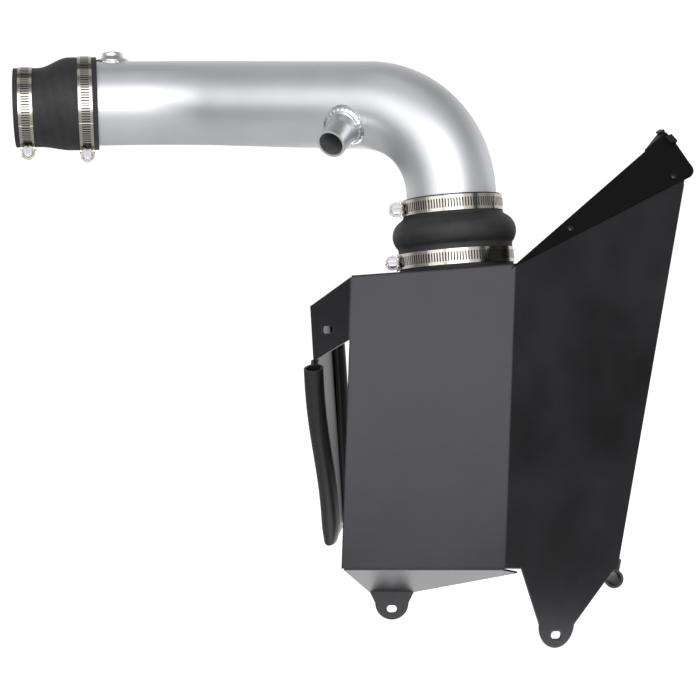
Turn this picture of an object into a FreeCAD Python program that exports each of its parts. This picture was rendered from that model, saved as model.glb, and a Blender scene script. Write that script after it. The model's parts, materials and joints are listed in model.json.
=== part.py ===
import FreeCAD, Part
import math
import os
from FreeCAD import Vector

# Cold air intake: a bent aluminium pipe that joins an engine's throttle body to a cone air filter,
# which stands inside a folded sheet steel heat shield. Millimetres, +Z up, +X from the throttle body
# towards the shield. The origin is the centre of the throttle coupler's mouth.

# Intake pipe
pipe_diameter = 76.2
pipe_wall = 2.0
throttle_leg = 152.0          # mouth to the first bend's corner
throttle_leg_yaw = 8.5        # degrees, away from the front
throttle_leg_rise = 2.0       # degrees
cross_leg = 263.7             # first corner to second corner
cross_leg_yaw = -26.1
cross_leg_rise = -4.7
filter_leg = 141.5            # second corner to the shield's top plate
filter_leg_lean = 4.2         # degrees from straight down, towards +X
first_bend_radius = 150.0
second_bend_radius = 82.0

# Sensor boss and breather spigot, both welded to the pipe
boss_station = 89.6           # from the mouth, along the throttle leg
boss_diameter = 19.6
boss_height = 8.0
boss_hole = 11.0
boss_weld = 4.4
spigot_station = 79.0         # back from the second corner
spigot_angle = 37.0           # degrees below level, round the pipe
spigot_diameter = 25.4
spigot_wall = 2.0
spigot_length = 28.0
spigot_weld = 5.5

# Rubber couplers
coupler_wall = 4.0
throttle_mouth_diameter = 63.5
throttle_cuff = 22.0
throttle_taper = 28.0
pipe_cuff = 25.0
coupler_offset = 3.0          # the mouth sits this much lower than the pipe
hump_length = 63.0
hump_upper_cuff = 16.5
hump_bulge = 10.5             # crown's reach past the upper cuff
hump_rise = 14.5              # half the bulge's height
hump_gap = 1.0                # lower rim above the top plate
upper_band_down = 1.3         # band's edge below the upper rim
lower_band_up = 4.3           # band's edge above the lower rim

# Worm drive clamps
band_width = 12.7
band_thickness = 0.7
band_seat = 0.2               # band's play over the rubber
band_edge = 4.5               # rubber left showing outside a band
slot_pitch = 2.4
slot_length = 7.5
slot_width = 1.1
slots_from = 150.0            # degrees round the band from the housing
slots_to = 345.0
tail_angle = 70.0
worm_radius = 3.2
worm_length = 15.0
housing_wall = 1.6
head_flats = 8.0
head_height = 4.5
worm_lift = 1.2               # worm above the band's tail

# Filter adapter and air filter
adapter_diameter = 88.9
adapter_wall = 2.5
adapter_flange_diameter = 122.0
adapter_flange = 4.0
adapter_above = 22.0          # neck above the top plate
adapter_below = 32.0          # neck below the flange
adapter_screw_inset = 8.0     # screw centres in from the flange's rim
adapter_screw_count = 4
filter_diameter = 150.0
filter_tip_diameter = 122.0
filter_length = 140.0
filter_base = 12.0
filter_cap = 14.0
filter_collar = 4.0           # rubber wall of the filter's neck
pleat_count = 40
pleat_depth = 16.0
filter_wall = 4.0

# Heat shield, folded from one sheet
sheet = 1.5
front_standoff = 88.0         # filter axis to the front face
front_left = 98.0             # filter axis to the front's lower left corner
front_width = 130.0
shield_depth = 240.0          # top plate down to the bottom edge
fold_lean = 2.0               # degrees
top_plate_depth = 162.0
top_plate_side = 38.0         # top plate's reach past the front fold, to the right
top_plate_relief = 3.0        # and its gap from the right panel there
right_angle = 35.0            # degrees that the right panel turns back
right_top = 188.0
right_bottom = 123.0
right_rise = 80.0             # right panel's top corner above the front's
right_drop = 11.0
return_depth = 70.0
return_relief = 4.0           # return wall stops this far below the top corner
wing_angle = 41.0
wing_width = 41.7
wing_low_width = 36.0
wing_top_drop = 30.0          # outer edge's top below the top plate's level
wing_foot_drop = 74.5
wing_root_drop = 58.0         # lower edge's end at the front panel
wing_slot_out = 22.5
wing_slot_drop = 49.6
wall_depth = 215.0
wall_toe_out = 7.0            # front edge's foot from the front panel's corner, to the left
wall_toe_back = 92.0          # and behind it
wall_foot = 8.0
foot_slope = 22.0             # degrees below level
foot_depth = 75.0
foot_side = 12.0              # foot's corner past the front fold, below the right panel
foot_side_back = 9.5
foot_left = 23.0              # tab's left edge from the front's lower left corner
tab_width = 38.0
tab_radius = 14.0
tab_height = 24.3
tab_slot_rise = 9.1          # slot's centre above the tab's tip
toe_left = 17.0               # right tab from the fold
toe_right = 119.0
toe_height = 64.0
toe_place = 60.0
toe_radius = 19.0
toe_slot_rise = 10.5
tab_slot_length = 8.5
turned_slot_length = 11.5     # in the wing and the right tab
tab_slot_width = 6.2

# Upper plate, screwed to the right panel's top flange
flange_width = 11.0
flange_start = 3.0            # from the front fold
flange_full = 62.0            # and where the flange reaches its full width
plate_angle = 51.0
plate_start = -6.0            # from the front fold
plate_rise = -1.5             # lower edge from the fold, upwards
plate_overhang = 17.0         # past the right panel's top corner
plate_corner = 11.0           # radius at the overhang's lower end
plate_slant = 6.0             # end edge's further reach at the trim
plate_trim_height = 34.0
plate_width = 46.5
plate_peak = 24.0             # tip's reach past the corner
plate_shoulder = 39.5
plate_shoulder_back = 11.0
ear_reach = 1.0               # ear's tip past the peak, along the edge
ear_width = 6.0
ear_depth = 6.0               # ear's tip behind the plate
plate_screw_first = 68.0
plate_screw_last = 9.0        # from the right panel's top corner
plate_screw_rise = 5.5
plate_screw_count = 2

# Rubber edge seals
bulb_diameter = 16.0
bulb_wall = 2.0
seal_relief = 3.0             # seals stop this far short of a corner
seal_foot_relief = 8.0        # and the left one above the wall's foot
grip_width = 6.0
grip_depth = 9.0
trim_width = 5.0
trim_depth = 8.0
ear_trim_depth = 5.0
ear_trim_length = 6.0
trim_wall = 1.75
trim_relief = 4.0             # trim stops this far short of the ear's fold

# Screws
screw_diameter = 5.0
screw_head_diameter = 9.5
screw_head_height = 2.8
plate_screw_diameter = 3.0
plate_head_diameter = 5.6
plate_head_height = 1.6
nut_flats = 5.5
nut_height = 2.4
screw_clearance = 0.25        # round a screw's shank

UP = Vector(0, 0, 1)
ORIGIN = Vector(0, 0, 0)


# Small geometry helpers

def unit(vector):
    return Vector(vector).normalize()


def heading(yaw, rise):
    """Direction turned yaw degrees from +X towards +Y and raised by rise degrees."""
    level = math.cos(math.radians(rise))
    return Vector(level * math.cos(math.radians(yaw)),
                  level * math.sin(math.radians(yaw)),
                  math.sin(math.radians(rise)))


def across(axis, towards):
    """Unit vector square to axis that leans towards the given direction."""
    return unit(towards - axis * towards.dot(axis))


def placed(shape, origin, axis, x_axis):
    """Copy of a shape whose local Z lies along axis and local X along x_axis."""
    z = unit(axis)
    x = across(z, x_axis)
    rotation = FreeCAD.Rotation(x, z.cross(x), z, "ZXY")
    copy = shape.copy()
    copy.Placement = FreeCAD.Placement(origin, rotation).multiply(copy.Placement)
    return copy


def rod(points, bend_radii, radius):
    """Round bar along straight runs joined by tangent bends."""
    edges = []
    start = points[0]
    for before, corner, after, bend in zip(points, points[1:], points[2:], bend_radii):
        back = unit(before - corner)
        on = unit(after - corner)
        half = back.getAngle(on) / 2
        bend_start = corner + back * (bend / math.tan(half))
        bend_end = corner + on * (bend / math.tan(half))
        inward = unit(back + on)
        middle = corner + inward * (bend / math.sin(half) - bend)
        edges.append(Part.LineSegment(start, bend_start).toShape())
        edges.append(Part.Arc(bend_start, middle, bend_end).toShape())
        start = bend_end
    edges.append(Part.LineSegment(start, points[-1]).toShape())
    circle = Part.Wire(Part.Circle(points[0], points[1] - points[0], radius).toShape())
    return Part.Wire(edges).makePipeShell([circle], True, False)


def ring(outer, inner, low, high):
    """Upright ring between two heights."""
    height = high - low
    outside = Part.makeCylinder(outer, height, Vector(0, 0, low))
    return outside.cut(Part.makeCylinder(inner, height, Vector(0, 0, low)))


def turned(points):
    """Solid of revolution about Z from a closed outline of (radius, height) points."""
    outline = [Vector(r, 0, z) for r, z in points]
    face = Part.Face(Part.makePolygon(outline + outline[:1]))
    return face.revolve(ORIGIN, UP, 360)


def hexagon(flats, height, origin, axis):
    corner = flats / math.sqrt(3)
    points = [Vector(corner * math.cos(math.radians(60 * i)), corner * math.sin(math.radians(60 * i)), 0)
              for i in range(7)]
    prism = Part.Face(Part.makePolygon(points)).extrude(Vector(0, 0, height))
    return placed(prism, origin, axis, Vector(axis.y, axis.z, axis.x))


def panel(points, outward, thickness):
    """Flat sheet whose inner face has the given corners."""
    return Part.Face(Part.makePolygon(points + points[:1])).extrude(outward * thickness)


def fold(start, end, outward, next_outward, thickness):
    """Round bend between two sheets whose inner faces meet along start-end."""
    rise = outward * thickness
    strip = Part.Face(Part.makePolygon([start, end, end + rise, start + rise, start]))
    axis = unit(end - start)
    angle = math.degrees(outward.getAngle(next_outward))
    if outward.cross(next_outward).dot(axis) < 0:
        angle = -angle
    return strip.revolve(start, axis, angle)


def joined(pieces):
    return pieces[0].fuse(pieces[1:]).removeSplitter()


# Centre line of the pipe

throttle_axis = heading(throttle_leg_yaw, throttle_leg_rise)
cross_axis = heading(cross_leg_yaw, cross_leg_rise)
filter_axis = Vector(math.sin(math.radians(filter_leg_lean)), 0, -math.cos(math.radians(filter_leg_lean)))
seat_axis = filter_axis * -1
throttle_up = across(throttle_axis, UP)
cross_up = across(cross_axis, UP)

coupler_length = throttle_cuff + throttle_taper + pipe_cuff
pipe_line = throttle_up * coupler_offset
pipe_start = pipe_line + throttle_axis * (throttle_cuff + throttle_taper + 2)
first_corner = pipe_line + throttle_axis * throttle_leg
second_corner = first_corner + cross_axis * cross_leg
seat = second_corner + filter_axis * filter_leg
hump_top = hump_gap + hump_length
pipe_end = seat + seat_axis * (hump_top - hump_upper_cuff + 1)


def on_seat(shape):
    """Moves a piece drawn about Z at the origin to the top plate's hole."""
    return placed(shape, seat, seat_axis, Vector(1, 0, 0))


# Pipe with its welded fittings

def pipe_solids():
    corners = [pipe_start, first_corner, second_corner, pipe_end]
    bends = [first_bend_radius, second_bend_radius]
    body = rod(corners, bends, pipe_diameter / 2)
    bore = rod(corners, bends, pipe_diameter / 2 - pipe_wall)

    boss_foot = pipe_line + throttle_axis * boss_station
    boss_top = pipe_diameter / 2 + boss_height
    boss_radius = boss_diameter / 2
    weld_low = pipe_diameter / 2 - boss_weld
    boss = turned([(boss_hole / 2, weld_low), (boss_radius + boss_weld, weld_low),
                   (boss_radius + boss_weld, pipe_diameter / 2),
                   (boss_radius, pipe_diameter / 2 + boss_weld),
                   (boss_radius, boss_top - 1), (boss_radius - 1, boss_top), (boss_hole / 2, boss_top)])
    boss = placed(boss, boss_foot, throttle_up, throttle_axis).cut(body)
    boss_way = Part.makeCylinder(boss_hole / 2, pipe_diameter, boss_foot, throttle_up)

    spigot_foot = second_corner - cross_axis * spigot_station
    level = cross_axis.cross(cross_up)
    angle = math.radians(spigot_angle)
    spigot_out = level * math.cos(angle) - cross_up * math.sin(angle)
    spigot_radius = spigot_diameter / 2
    spigot_bore = spigot_radius - spigot_wall
    spigot_end = pipe_diameter / 2 + spigot_length
    weld_low = pipe_diameter / 2 - spigot_weld * 2
    spigot = turned([(spigot_bore, weld_low), (spigot_radius + spigot_weld, weld_low),
                     (spigot_radius + spigot_weld, pipe_diameter / 2 - spigot_weld / 2),
                     (spigot_radius + spigot_weld * 0.3, pipe_diameter / 2 + spigot_weld * 0.4),
                     (spigot_radius, pipe_diameter / 2 + spigot_weld * 1.6),
                     (spigot_radius, spigot_end), (spigot_bore, spigot_end)])
    spigot = placed(spigot, spigot_foot, spigot_out, cross_axis).cut(body)
    spigot_way = Part.makeCylinder(spigot_bore, pipe_diameter, spigot_foot, spigot_out)

    pipe = body.cut([bore, boss_way, spigot_way])
    return pipe, boss, spigot


# Couplers

def throttle_coupler():
    small = throttle_mouth_diameter / 2
    large = pipe_diameter / 2
    taper_end = throttle_cuff + throttle_taper

    def skin(extra):
        stations = 5
        sections = []
        for i in range(stations):
            t = i / (stations - 1)
            ease = t * t * (3 - 2 * t)
            centre = Vector(coupler_offset * ease, 0, throttle_cuff + throttle_taper * t)
            radius = small + (large - small) * ease + extra
            sections.append(Part.Wire(Part.Circle(centre, UP, radius).toShape()))
        taper = Part.makeLoft(sections, True)
        mouth = Part.makeCylinder(small + extra, throttle_cuff)
        cuff = Part.makeCylinder(large + extra, pipe_cuff, Vector(coupler_offset, 0, taper_end))
        return mouth.fuse([taper, cuff])

    return placed(skin(coupler_wall).cut(skin(0)), ORIGIN, throttle_axis, throttle_up)


def hump_section(wall):
    """Half outline of the hump coupler, out by wall from its bore."""
    low = adapter_diameter / 2 + wall
    high = pipe_diameter / 2 + wall
    bulge = hump_bulge - coupler_wall + wall
    rise = hump_rise - coupler_wall + wall
    shoulder = pipe_diameter / 2 + coupler_wall
    inset = (rise ** 2 - bulge ** 2) / (2 * bulge)
    arc_radius = bulge + inset
    centre_z = hump_top - hump_upper_cuff - hump_rise
    low_z = centre_z - math.sqrt(arc_radius ** 2 - (low - shoulder + inset) ** 2)
    high_z = centre_z + rise
    foot = Vector(low, 0, hump_gap)
    start = Vector(low, 0, low_z)
    crown = Vector(shoulder + bulge, 0, centre_z)
    end = Vector(shoulder, 0, high_z)
    neck = Vector(high, 0, high_z)
    top = Vector(high, 0, hump_top)
    edges = [Part.LineSegment(foot, start).toShape(), Part.Arc(start, crown, end).toShape()]
    if (neck - end).Length > 0.01:
        edges.append(Part.LineSegment(end, neck).toShape())
    edges.append(Part.LineSegment(neck, top).toShape())
    return edges, foot, top


def hump_coupler():
    skins = []
    for wall in (coupler_wall, 0):
        edges, foot, top = hump_section(wall)
        axis_low = Vector(0, 0, foot.z)
        axis_high = Vector(0, 0, top.z)
        closing = [Part.LineSegment(top, axis_high).toShape(), Part.LineSegment(axis_high, axis_low).toShape(),
                   Part.LineSegment(axis_low, foot).toShape()]
        skins.append(Part.Face(Part.Wire(edges + closing)).revolve(ORIGIN, UP, 360))
    return on_seat(skins[0].cut(skins[1]))


# Worm drive clamps: a slotted band, a pressed housing and a hexagon headed worm screw

def clamp(rubber_radius, origin, axis, housing_direction):
    """Band centred on origin; the screw's head lies on the local -Y side of its housing."""
    bore_radius = rubber_radius + band_seat
    band_out = bore_radius + band_thickness
    tail_out = band_out + band_thickness
    half = band_width / 2
    band = ring(band_out, bore_radius, -half, half)
    tail = Part.makePolygon([Vector(band_out, 0, -half), Vector(tail_out, 0, -half), Vector(tail_out, 0, half),
                             Vector(band_out, 0, half), Vector(band_out, 0, -half)])
    tail = Part.Face(tail).revolve(ORIGIN, UP, -tail_angle)
    tail_start = math.degrees((worm_length / 2 + 2) / band_out)
    tail.rotate(ORIGIN, UP, tail_start)
    band = band.fuse(tail)
    slot = Part.makeBox(4 * band_thickness, slot_width, slot_length)
    slot.translate(Vector(bore_radius - band_thickness, -slot_width / 2, -slot_length / 2))
    step = math.degrees(slot_pitch / band_out)
    slots = []
    for i in range(int((slots_to - slots_from) / step) + 1):
        cutter = slot.copy()
        cutter.rotate(ORIGIN, UP, slots_from + i * step)
        slots.append(cutter)
    band = band.cut(slots)

    screw_height = tail_out + worm_radius + worm_lift
    barrel = worm_radius + housing_wall
    length = worm_length - 1
    toward_back = Vector(0, 1, 0)
    housing = Part.makeCylinder(barrel, length, Vector(screw_height, -length / 2, 0), toward_back)
    cheeks = Part.makeBox(screw_height - bore_radius, length, 2 * barrel,
                          Vector(bore_radius, -length / 2, -barrel))
    saddle = Part.makeBox(tail_out + 1.2 - bore_radius, length, band_width + 1.4,
                          Vector(bore_radius, -length / 2, -half - 0.7))
    housing = housing.fuse([cheeks, saddle])
    housing = housing.cut([Part.makeCylinder(tail_out, 2 * band_width, Vector(0, 0, -band_width)),
                           Part.makeCylinder(worm_radius + 0.2, 2 * worm_length,
                                             Vector(screw_height, -worm_length, 0), toward_back)])

    worm_start = -worm_length / 2
    screw_line = Vector(screw_height, worm_start, 0)
    screw = Part.makeCylinder(worm_radius, worm_length, screw_line, toward_back)
    flange = Part.makeCylinder(barrel, 1.2, screw_line - toward_back * 1.2, toward_back)
    head = hexagon(head_flats, head_height, screw_line - toward_back * (1.2 + head_height), toward_back)
    driver = Part.makeBox(head_flats + 2, 1.5, 1.3,
                          screw_line - Vector(head_flats / 2 + 1, 1.2 + head_height, 0.65))
    screw = joined([screw, flange, head]).cut(driver)
    return [placed(piece, origin, axis, housing_direction) for piece in (band, housing, screw)]


def clamps():
    """Name, radius of the rubber below, centre, ring axis and housing direction of each clamp."""
    left = Vector(-1, 0, 0)
    half = band_width / 2
    small = throttle_mouth_diameter / 2 + coupler_wall
    large = pipe_diameter / 2 + coupler_wall
    neck = adapter_diameter / 2 + coupler_wall
    filter_neck = adapter_diameter / 2 + filter_collar
    pipe_centre = pipe_line + throttle_axis * (coupler_length - band_edge - half)
    upper = seat + seat_axis * (hump_top - upper_band_down - half)
    lower = seat + seat_axis * (hump_gap + lower_band_up + half)
    inner = seat - seat_axis * (sheet + adapter_flange + 4 + half)
    return [
        ("throttle_clamp", small, throttle_axis * (band_edge + half), throttle_axis, throttle_up * -1),
        ("pipe_clamp", large, pipe_centre, throttle_axis, throttle_up * -1),
        ("upper_hump_clamp", large, upper, filter_axis, left),
        ("lower_hump_clamp", neck, lower, filter_axis, left),
        ("filter_clamp", filter_neck, inner, filter_axis, left),
    ]


# Adapter and air filter

def screw_places():
    radius = adapter_flange_diameter / 2 - adapter_screw_inset
    turn = 360 / adapter_screw_count
    return [Vector(radius * math.cos(math.radians(turn * (i + 0.5))),
                   radius * math.sin(math.radians(turn * (i + 0.5))), 0)
            for i in range(adapter_screw_count)]


def button_screw(diameter, head_diameter, head_height, length):
    """Screw with its head's seat at the origin, its shank down and a rounded head above."""
    radius = head_diameter / 2
    ball = (radius ** 2 + head_height ** 2) / (2 * head_height)
    head = Part.makeSphere(ball, Vector(0, 0, head_height - ball))
    head = head.common(Part.makeCylinder(radius, head_height))
    shank = Part.makeCylinder(diameter / 2, length, Vector(0, 0, -length))
    socket = hexagon(diameter * 0.6, head_height, Vector(0, 0, head_height * 0.4), UP)
    return head.fuse(shank).removeSplitter().cut(socket)


def filter_adapter():
    outer = adapter_diameter / 2
    inner = outer - adapter_wall
    flange_top = -sheet
    neck = ring(outer, inner, flange_top - adapter_flange - adapter_below, adapter_above)
    flange = ring(adapter_flange_diameter / 2, inner, flange_top - adapter_flange, flange_top)
    holes = [Part.makeCylinder(screw_diameter / 2, adapter_flange, place + Vector(0, 0, flange_top - adapter_flange))
             for place in screw_places()]
    return on_seat(joined([neck, flange]).cut(holes))


def adapter_screws():
    screws = []
    for place in screw_places():
        screw = button_screw(screw_diameter, screw_head_diameter, screw_head_height, sheet + adapter_flange)
        screw.translate(place)
        screws.append(on_seat(screw))
    return Part.makeCompound(screws)


def star(radius, depth, height):
    """Closed zigzag outline of the pleats."""
    points = []
    for i in range(2 * pleat_count + 1):
        angle = math.pi * i / pleat_count
        reach = radius if i % 2 == 0 else radius - depth
        points.append(Vector(reach * math.cos(angle), reach * math.sin(angle), height))
    return Part.makePolygon(points)


def air_filter():
    collar_out = adapter_diameter / 2 + filter_collar
    bore = adapter_diameter / 2
    collar_top = -(sheet + adapter_flange + 2)
    base_top = -(sheet + adapter_flange + adapter_below)
    base_bottom = base_top - filter_base
    cap_top = base_bottom - filter_length
    rim = filter_diameter / 2
    tip = filter_tip_diameter / 2
    neck = turned([(bore, collar_top), (collar_out, collar_top), (collar_out, base_top),
                   (rim - 3, base_top), (rim, base_top - 3), (rim, base_bottom), (bore, base_bottom)])

    pleat_out = rim - 4
    pleat_tip = tip - 2
    outside = Part.makeLoft([star(pleat_out, pleat_depth, base_bottom), star(pleat_tip, pleat_depth, cap_top)],
                            True, True)
    core = Part.makeCone(pleat_out - pleat_depth - filter_wall, pleat_tip - pleat_depth - filter_wall,
                         filter_length, Vector(0, 0, base_bottom), UP * -1)
    pleats = outside.cut(core)

    cap = turned([(0, cap_top), (tip, cap_top), (tip, cap_top - filter_cap + 5),
                  (tip - 5, cap_top - filter_cap), (0, cap_top - filter_cap)])
    return on_seat(neck), on_seat(pleats), on_seat(cap)


# Heat shield. Each panel's inner face is laid out on its own directions, then given the sheet's thickness.

fold_axis = Vector(math.sin(math.radians(fold_lean)), 0, math.cos(math.radians(fold_lean)))
front_out = Vector(0, -1, 0)
right_level = heading(right_angle, 0)
right_out = unit(right_level.cross(fold_axis))
wing_level = Vector(-math.cos(math.radians(wing_angle)), math.sin(math.radians(wing_angle)), 0)
wing_out = unit(fold_axis.cross(wing_level))

lower_left = seat + Vector(-front_left, sheet - front_standoff, -shield_depth)
lower_right = lower_left + Vector(front_width, 0, 0)


def climb(foot):
    """Length along the folds from a foot to the top plate's inner face."""
    under_plate = seat - seat_axis * sheet
    return (under_plate - foot).dot(seat_axis) / fold_axis.dot(seat_axis)


upper_left = lower_left + fold_axis * climb(lower_left)
upper_right = lower_right + fold_axis * climb(lower_right)
right_foot = lower_right + right_level * right_bottom - fold_axis * right_drop
right_head = upper_right + right_level * right_top + fold_axis * right_rise
return_back = Vector(0, return_depth, 0)
return_out = unit(return_back.cross(right_head - right_foot))
return_head = right_head - unit(right_head - right_foot) * return_relief

# Left wall, in the plane of the wing's outer edge and the wall's own front foot
wing_root = lower_left + fold_axis * (shield_depth - wing_root_drop)
wing_corner_low = lower_left + wing_level * wing_low_width + fold_axis * (shield_depth - wing_foot_drop)
wing_corner_high = lower_left + wing_level * wing_width + fold_axis * (shield_depth - wing_top_drop)
wall_toe = lower_left + Vector(-wall_toe_out, wall_toe_back, wall_foot)
wall_out = unit((wall_toe - wing_corner_low).cross(wing_corner_high - wing_corner_low)) * -1
wall_level = unit(wall_out.cross(UP))
wall_head = wing_corner_high + wall_level * wall_depth
wall_heel = wall_toe + wall_level * (wall_head - wall_toe).dot(wall_level)


# Upper plate's directions: along the right panel's top edge, and across it up and back
plate_along = unit(right_head - upper_right)
plate_edge = (right_head - upper_right).Length
plate_level = unit(Vector(-plate_along.y, plate_along.x, 0))
plate_lift = unit(plate_along.cross(plate_level))
plate_across = (plate_level * math.cos(math.radians(plate_angle))
                + plate_lift * math.sin(math.radians(plate_angle)))
plate_out = unit(plate_along.cross(plate_across))


def slot_tool(centre, along, outward, length):
    """Cutter for a round-ended slot through the sheet."""
    reach = (length - tab_slot_width) / 2
    radius = tab_slot_width / 2
    start = centre - outward * (2 * sheet)
    depth = outward * (4 * sheet)
    ends = [Part.makeCylinder(radius, 4 * sheet, start + along * side, outward) for side in (-reach, reach)]
    side_out = unit(outward.cross(along)) * radius
    flat = Part.Face(Part.makePolygon([start - along * reach - side_out, start + along * reach - side_out,
                                       start + along * reach + side_out, start - along * reach + side_out,
                                       start - along * reach - side_out])).extrude(depth)
    return flat.fuse(ends)


def foot_and_tab():
    """Sloping foot under the front panel, with the left mounting tab at its back edge."""
    slope = math.radians(foot_slope)
    back = Vector(0, math.cos(slope), -math.sin(slope))
    foot_out = Vector(0, -math.sin(slope), -math.cos(slope))
    left_root = lower_left + Vector(2, 0, 0)
    right_root = lower_right - Vector(1, 0, 0)
    tab_left = lower_left + Vector(foot_left, 0, 0) + back * foot_depth
    tab_right = tab_left + Vector(tab_width, 0, 0)
    side_corner = right_root + Vector(foot_side, 0, 0) + back * foot_side_back
    foot = panel([left_root, right_root, side_corner, tab_right, tab_left], foot_out, sheet)
    root_bend = fold(left_root, right_root, front_out, foot_out, sheet)
    tab_bend = fold(tab_left, tab_right, foot_out, front_out, sheet)
    radius = tab_radius
    tip_centre = tab_left + Vector(tab_width / 2, 0, radius - tab_height)
    outline = Part.Wire([
        Part.LineSegment(tab_left, tab_right).toShape(),
        Part.LineSegment(tab_right, tip_centre + Vector(radius, 0, 0)).toShape(),
        Part.Arc(tip_centre + Vector(radius, 0, 0), tip_centre - Vector(0, 0, radius),
                 tip_centre - Vector(radius, 0, 0)).toShape(),
        Part.LineSegment(tip_centre - Vector(radius, 0, 0), tab_left).toShape()])
    tab = Part.Face(outline).extrude(front_out * sheet)
    slot_centre = tip_centre + Vector(0, 0, tab_slot_rise - radius)
    return [foot, root_bend, tab_bend, tab], slot_tool(slot_centre, Vector(1, 0, 0), front_out, tab_slot_length)


def toe():
    """Long tab below the right panel, in that panel's own plane."""
    edge = unit(right_foot - lower_right)
    down = across(edge, fold_axis) * -1
    root_left = lower_right + edge * toe_left
    root_right = lower_right + edge * toe_right
    centre = lower_right + edge * toe_place + down * (toe_height - toe_radius)
    left_side = centre - edge * toe_radius
    right_side = centre + edge * toe_radius
    outline = Part.Wire([
        Part.LineSegment(root_left, root_right).toShape(),
        Part.LineSegment(root_right, right_side).toShape(),
        Part.Arc(right_side, centre + down * toe_radius, left_side).toShape(),
        Part.LineSegment(left_side, root_left).toShape()])
    slot_centre = centre + down * (toe_radius - toe_slot_rise)
    return Part.Face(outline).extrude(right_out * sheet), slot_tool(slot_centre, edge, right_out, turned_slot_length)


def plate_point(along, across_distance):
    return upper_right + plate_along * along + plate_across * across_distance


def plate_screw_places():
    """Screw centres on the top flange's outer face."""
    step = (plate_edge - plate_screw_last - plate_screw_first) / (plate_screw_count - 1)
    return [plate_point(plate_screw_first + step * i, plate_screw_rise) + plate_out * sheet
            for i in range(plate_screw_count)]


def heat_shield():
    front = panel([lower_left, lower_right, upper_right, upper_left], front_out, sheet)
    right = panel([lower_right, right_foot, right_head, upper_right], right_out, sheet)
    return_wall = panel([right_foot, right_foot + return_back, return_head + return_back, return_head],
                        return_out, sheet)
    turn = math.radians(right_angle)
    side_back = top_plate_side * math.tan(turn) + top_plate_relief / math.cos(turn)
    top_side = upper_right + across(seat_axis, Vector(1, 0, 0)) * top_plate_side
    top = panel([upper_left, upper_right, top_side + Vector(0, side_back, 0),
                 top_side + Vector(0, top_plate_depth, 0), upper_left + Vector(0, top_plate_depth, 0)],
                seat_axis, sheet)
    wing = panel([wing_root, wing_corner_low, wing_corner_high, upper_left], wing_out, sheet)
    wall = panel([wing_corner_low, wall_toe, wall_heel, wall_head, wing_corner_high], wall_out, sheet)
    flange = panel([plate_point(flange_start, 0), right_head, plate_point(plate_edge, flange_width),
                    plate_point(flange_full, flange_width)], plate_out, sheet)
    bends = [
        fold(lower_right, upper_right, front_out, right_out, sheet),
        fold(right_foot, return_head, right_out, return_out, sheet),
        fold(upper_left, upper_right, front_out, seat_axis, sheet),
        fold(wing_root, upper_left, front_out, wing_out, sheet),
        fold(wing_corner_low, wing_corner_high, wing_out, wall_out, sheet),
        fold(plate_point(flange_start, 0), right_head, right_out, plate_out, sheet),
    ]
    feet, tab_slot = foot_and_tab()
    toe_tab, toe_slot = toe()
    body = joined([front, right, return_wall, top, wing, wall, flange] + bends + feet + [toe_tab])
    neck_hole = Part.makeCylinder(adapter_diameter / 2 + 0.5, 4 * sheet, Vector(0, 0, -2 * sheet))
    holes = [on_seat(neck_hole)]
    for place in screw_places():
        holes.append(on_seat(Part.makeCylinder(screw_diameter / 2 + screw_clearance, 4 * sheet,
                                               place - Vector(0, 0, 2 * sheet))))
    for place in plate_screw_places():
        holes.append(Part.makeCylinder(plate_screw_diameter / 2 + screw_clearance, 4 * sheet,
                                       place - plate_out * 2 * sheet, plate_out))
    slot_centre = lower_left + wing_level * wing_slot_out + fold_axis * (shield_depth - wing_slot_drop)
    wing_slot = slot_tool(slot_centre, wing_level, wing_out, turned_slot_length)
    return body.cut(holes + [tab_slot, toe_slot, wing_slot])


def plate_corners():
    """Trimmed edge's foot, peak, shoulder and ear's tip, on the upper plate's inner face."""
    lift = plate_out * sheet
    ear_foot = plate_point(plate_edge + plate_peak + ear_reach, plate_width + ear_width)
    trim_foot = plate_point(plate_edge + plate_overhang + plate_slant, plate_trim_height) + lift
    peak = plate_point(plate_edge + plate_peak, plate_width) + lift
    shoulder = plate_point(plate_edge - plate_shoulder_back, plate_shoulder) + lift
    ear_tip = ear_foot + lift - plate_out * ear_depth
    return trim_foot, peak, shoulder, ear_tip


def ear_direction():
    """Outward normal of the small ear folded back from the plate's upper edge."""
    trim_foot, peak, shoulder, ear_tip = plate_corners()
    normal = unit((peak - shoulder).cross(ear_tip - shoulder))
    return normal * math.copysign(1, normal.dot(plate_out))


def upper_plate():
    lift = plate_out * sheet
    root = plate_point(plate_start, plate_rise) + lift
    corner_start = plate_point(plate_edge + plate_overhang - plate_corner, plate_rise) + lift
    corner_bow = plate_corner * (1 - math.sqrt(0.5))
    corner_middle = plate_point(plate_edge + plate_overhang - corner_bow, plate_rise + corner_bow) + lift
    corner_end = plate_point(plate_edge + plate_overhang, plate_rise + plate_corner) + lift
    trim_low, peak, shoulder, ear_tip = plate_corners()
    outline = Part.Wire([
        Part.LineSegment(root, corner_start).toShape(),
        Part.Arc(corner_start, corner_middle, corner_end).toShape(),
        Part.LineSegment(corner_end, trim_low).toShape(),
        Part.LineSegment(trim_low, peak).toShape(),
        Part.LineSegment(peak, shoulder).toShape(),
        Part.LineSegment(shoulder, root).toShape()])
    plate = Part.Face(outline).extrude(plate_out * sheet)
    ear_out = ear_direction()
    ear = panel([shoulder, peak, ear_tip], ear_out, sheet)
    bend = fold(shoulder, peak, plate_out, ear_out, sheet)
    holes = [Part.makeCylinder(plate_screw_diameter / 2 + screw_clearance, 4 * sheet, place - plate_out * sheet,
                               plate_out)
             for place in plate_screw_places()]
    return joined([plate, ear, bend]).cut(holes)


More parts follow.
